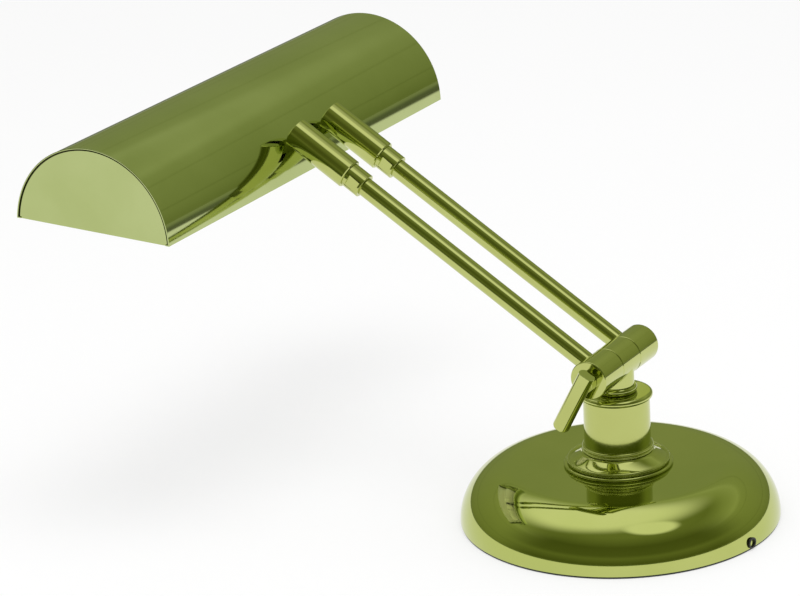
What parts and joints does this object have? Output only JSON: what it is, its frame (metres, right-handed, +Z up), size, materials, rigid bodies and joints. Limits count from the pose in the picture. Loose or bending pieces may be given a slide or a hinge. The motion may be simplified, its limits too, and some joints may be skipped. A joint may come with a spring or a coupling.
{
  "type": "piano lamp",
  "caption": "Desk lamp for a piano: a long half-round metal shade on twin parallel arms that pitch at a barrel joint, over a swivelling post on a weighted domed round base.",
  "frame": {"origin": "centre of the base's underside, on the table", "axes": "+Z up; the shade is in front, towards -Y; the hinge lines run along X"},
  "size_m": [0.3556, 0.4438, 0.2756],
  "materials": {
    "polished_brass": "mirror polished and lacquered",
    "zinc_steel": "zinc plated",
    "cast_weight": "sand cast, black paint",
    "felt_pad": "pressed felt",
    "black_nylon": "moulded",
    "fibre_washer": "pressed fibre",
    "socket_shell": "glazed white",
    "bulb_cap": "bright rolled",
    "bulb_glass": "frosted",
    "black_plastic": "moulded"
  },
  "bodies": {
    "root": {"base_shell": "polished_brass", "cord_bushing": "black_nylon", "base_pad": "felt_pad", "base_weight": "cast_weight", "base_washer": "zinc_steel", "base_nut": "zinc_steel", "threaded_nipple": "zinc_steel", "lock_nut": "zinc_steel", "base_flange": "polished_brass", "post_ring": "polished_brass", "post_tube": "polished_brass", "post_cap": "polished_brass"},
    "swivel": {"swivel_collar": "polished_brass", "swivel_washer": "zinc_steel", "swivel_nut": "zinc_steel", "center_knuckle": "polished_brass"},
    "arms": {"near_knuckle": "polished_brass", "far_knuckle": "polished_brass", "near_friction_washer": "fibre_washer", "far_friction_washer": "fibre_washer", "near_tube": "polished_brass", "far_tube": "polished_brass", "near_ferrule": "polished_brass", "far_ferrule": "polished_brass", "near_sleeve": "polished_brass", "far_sleeve": "polished_brass", "hinge_pins": "zinc_steel"},
    "clamp": {"clamp_stud": "zinc_steel", "clamp_lever": "polished_brass"},
    "shade": {"shade_shell": "polished_brass", "near_shade_end": "polished_brass", "far_shade_end": "polished_brass", "shade_lugs": "polished_brass", "lug_nuts": "zinc_steel", "socket_bracket": "zinc_steel", "near_socket": "socket_shell", "far_socket": "socket_shell", "near_bulb_cap": "bulb_cap", "far_bulb_cap": "bulb_cap", "near_bulb": "bulb_glass", "far_bulb": "bulb_glass", "switch_body": "black_plastic", "switch_nut": "zinc_steel"},
    "knob": {"switch_knob": "black_plastic"}
  },
  "joints": [
    {"name": "base_swivel", "type": "hinge", "parent": "root", "child": "swivel", "pos_m": [0, 0, 0.08], "axis": [0, 0, 1], "range_deg": [-170, 170]},
    {"name": "arm_pitch", "type": "hinge", "parent": "swivel", "child": "arms", "pos_m": [0, 0, 0.1083], "axis": [1, 0, 0], "range_deg": [-52, 25]},
    {"name": "clamp_turn", "type": "hinge", "parent": "arms", "child": "clamp", "pos_m": [0.045, 0, 0.1083], "axis": [1, 0, 0], "range_deg": [-60, 150]},
    {"name": "shade_tilt", "type": "hinge", "parent": "arms", "child": "shade", "pos_m": [0, -0.21272, 0.24434], "axis": [1, 0, 0], "range_deg": [-38, 38]},
    {"name": "switch_turn", "type": "hinge", "parent": "shade", "child": "knob", "pos_m": [0, -0.26735, 0.22638], "axis": [0, 0.0558, 0.9984], "continuous": true}
  ]
}
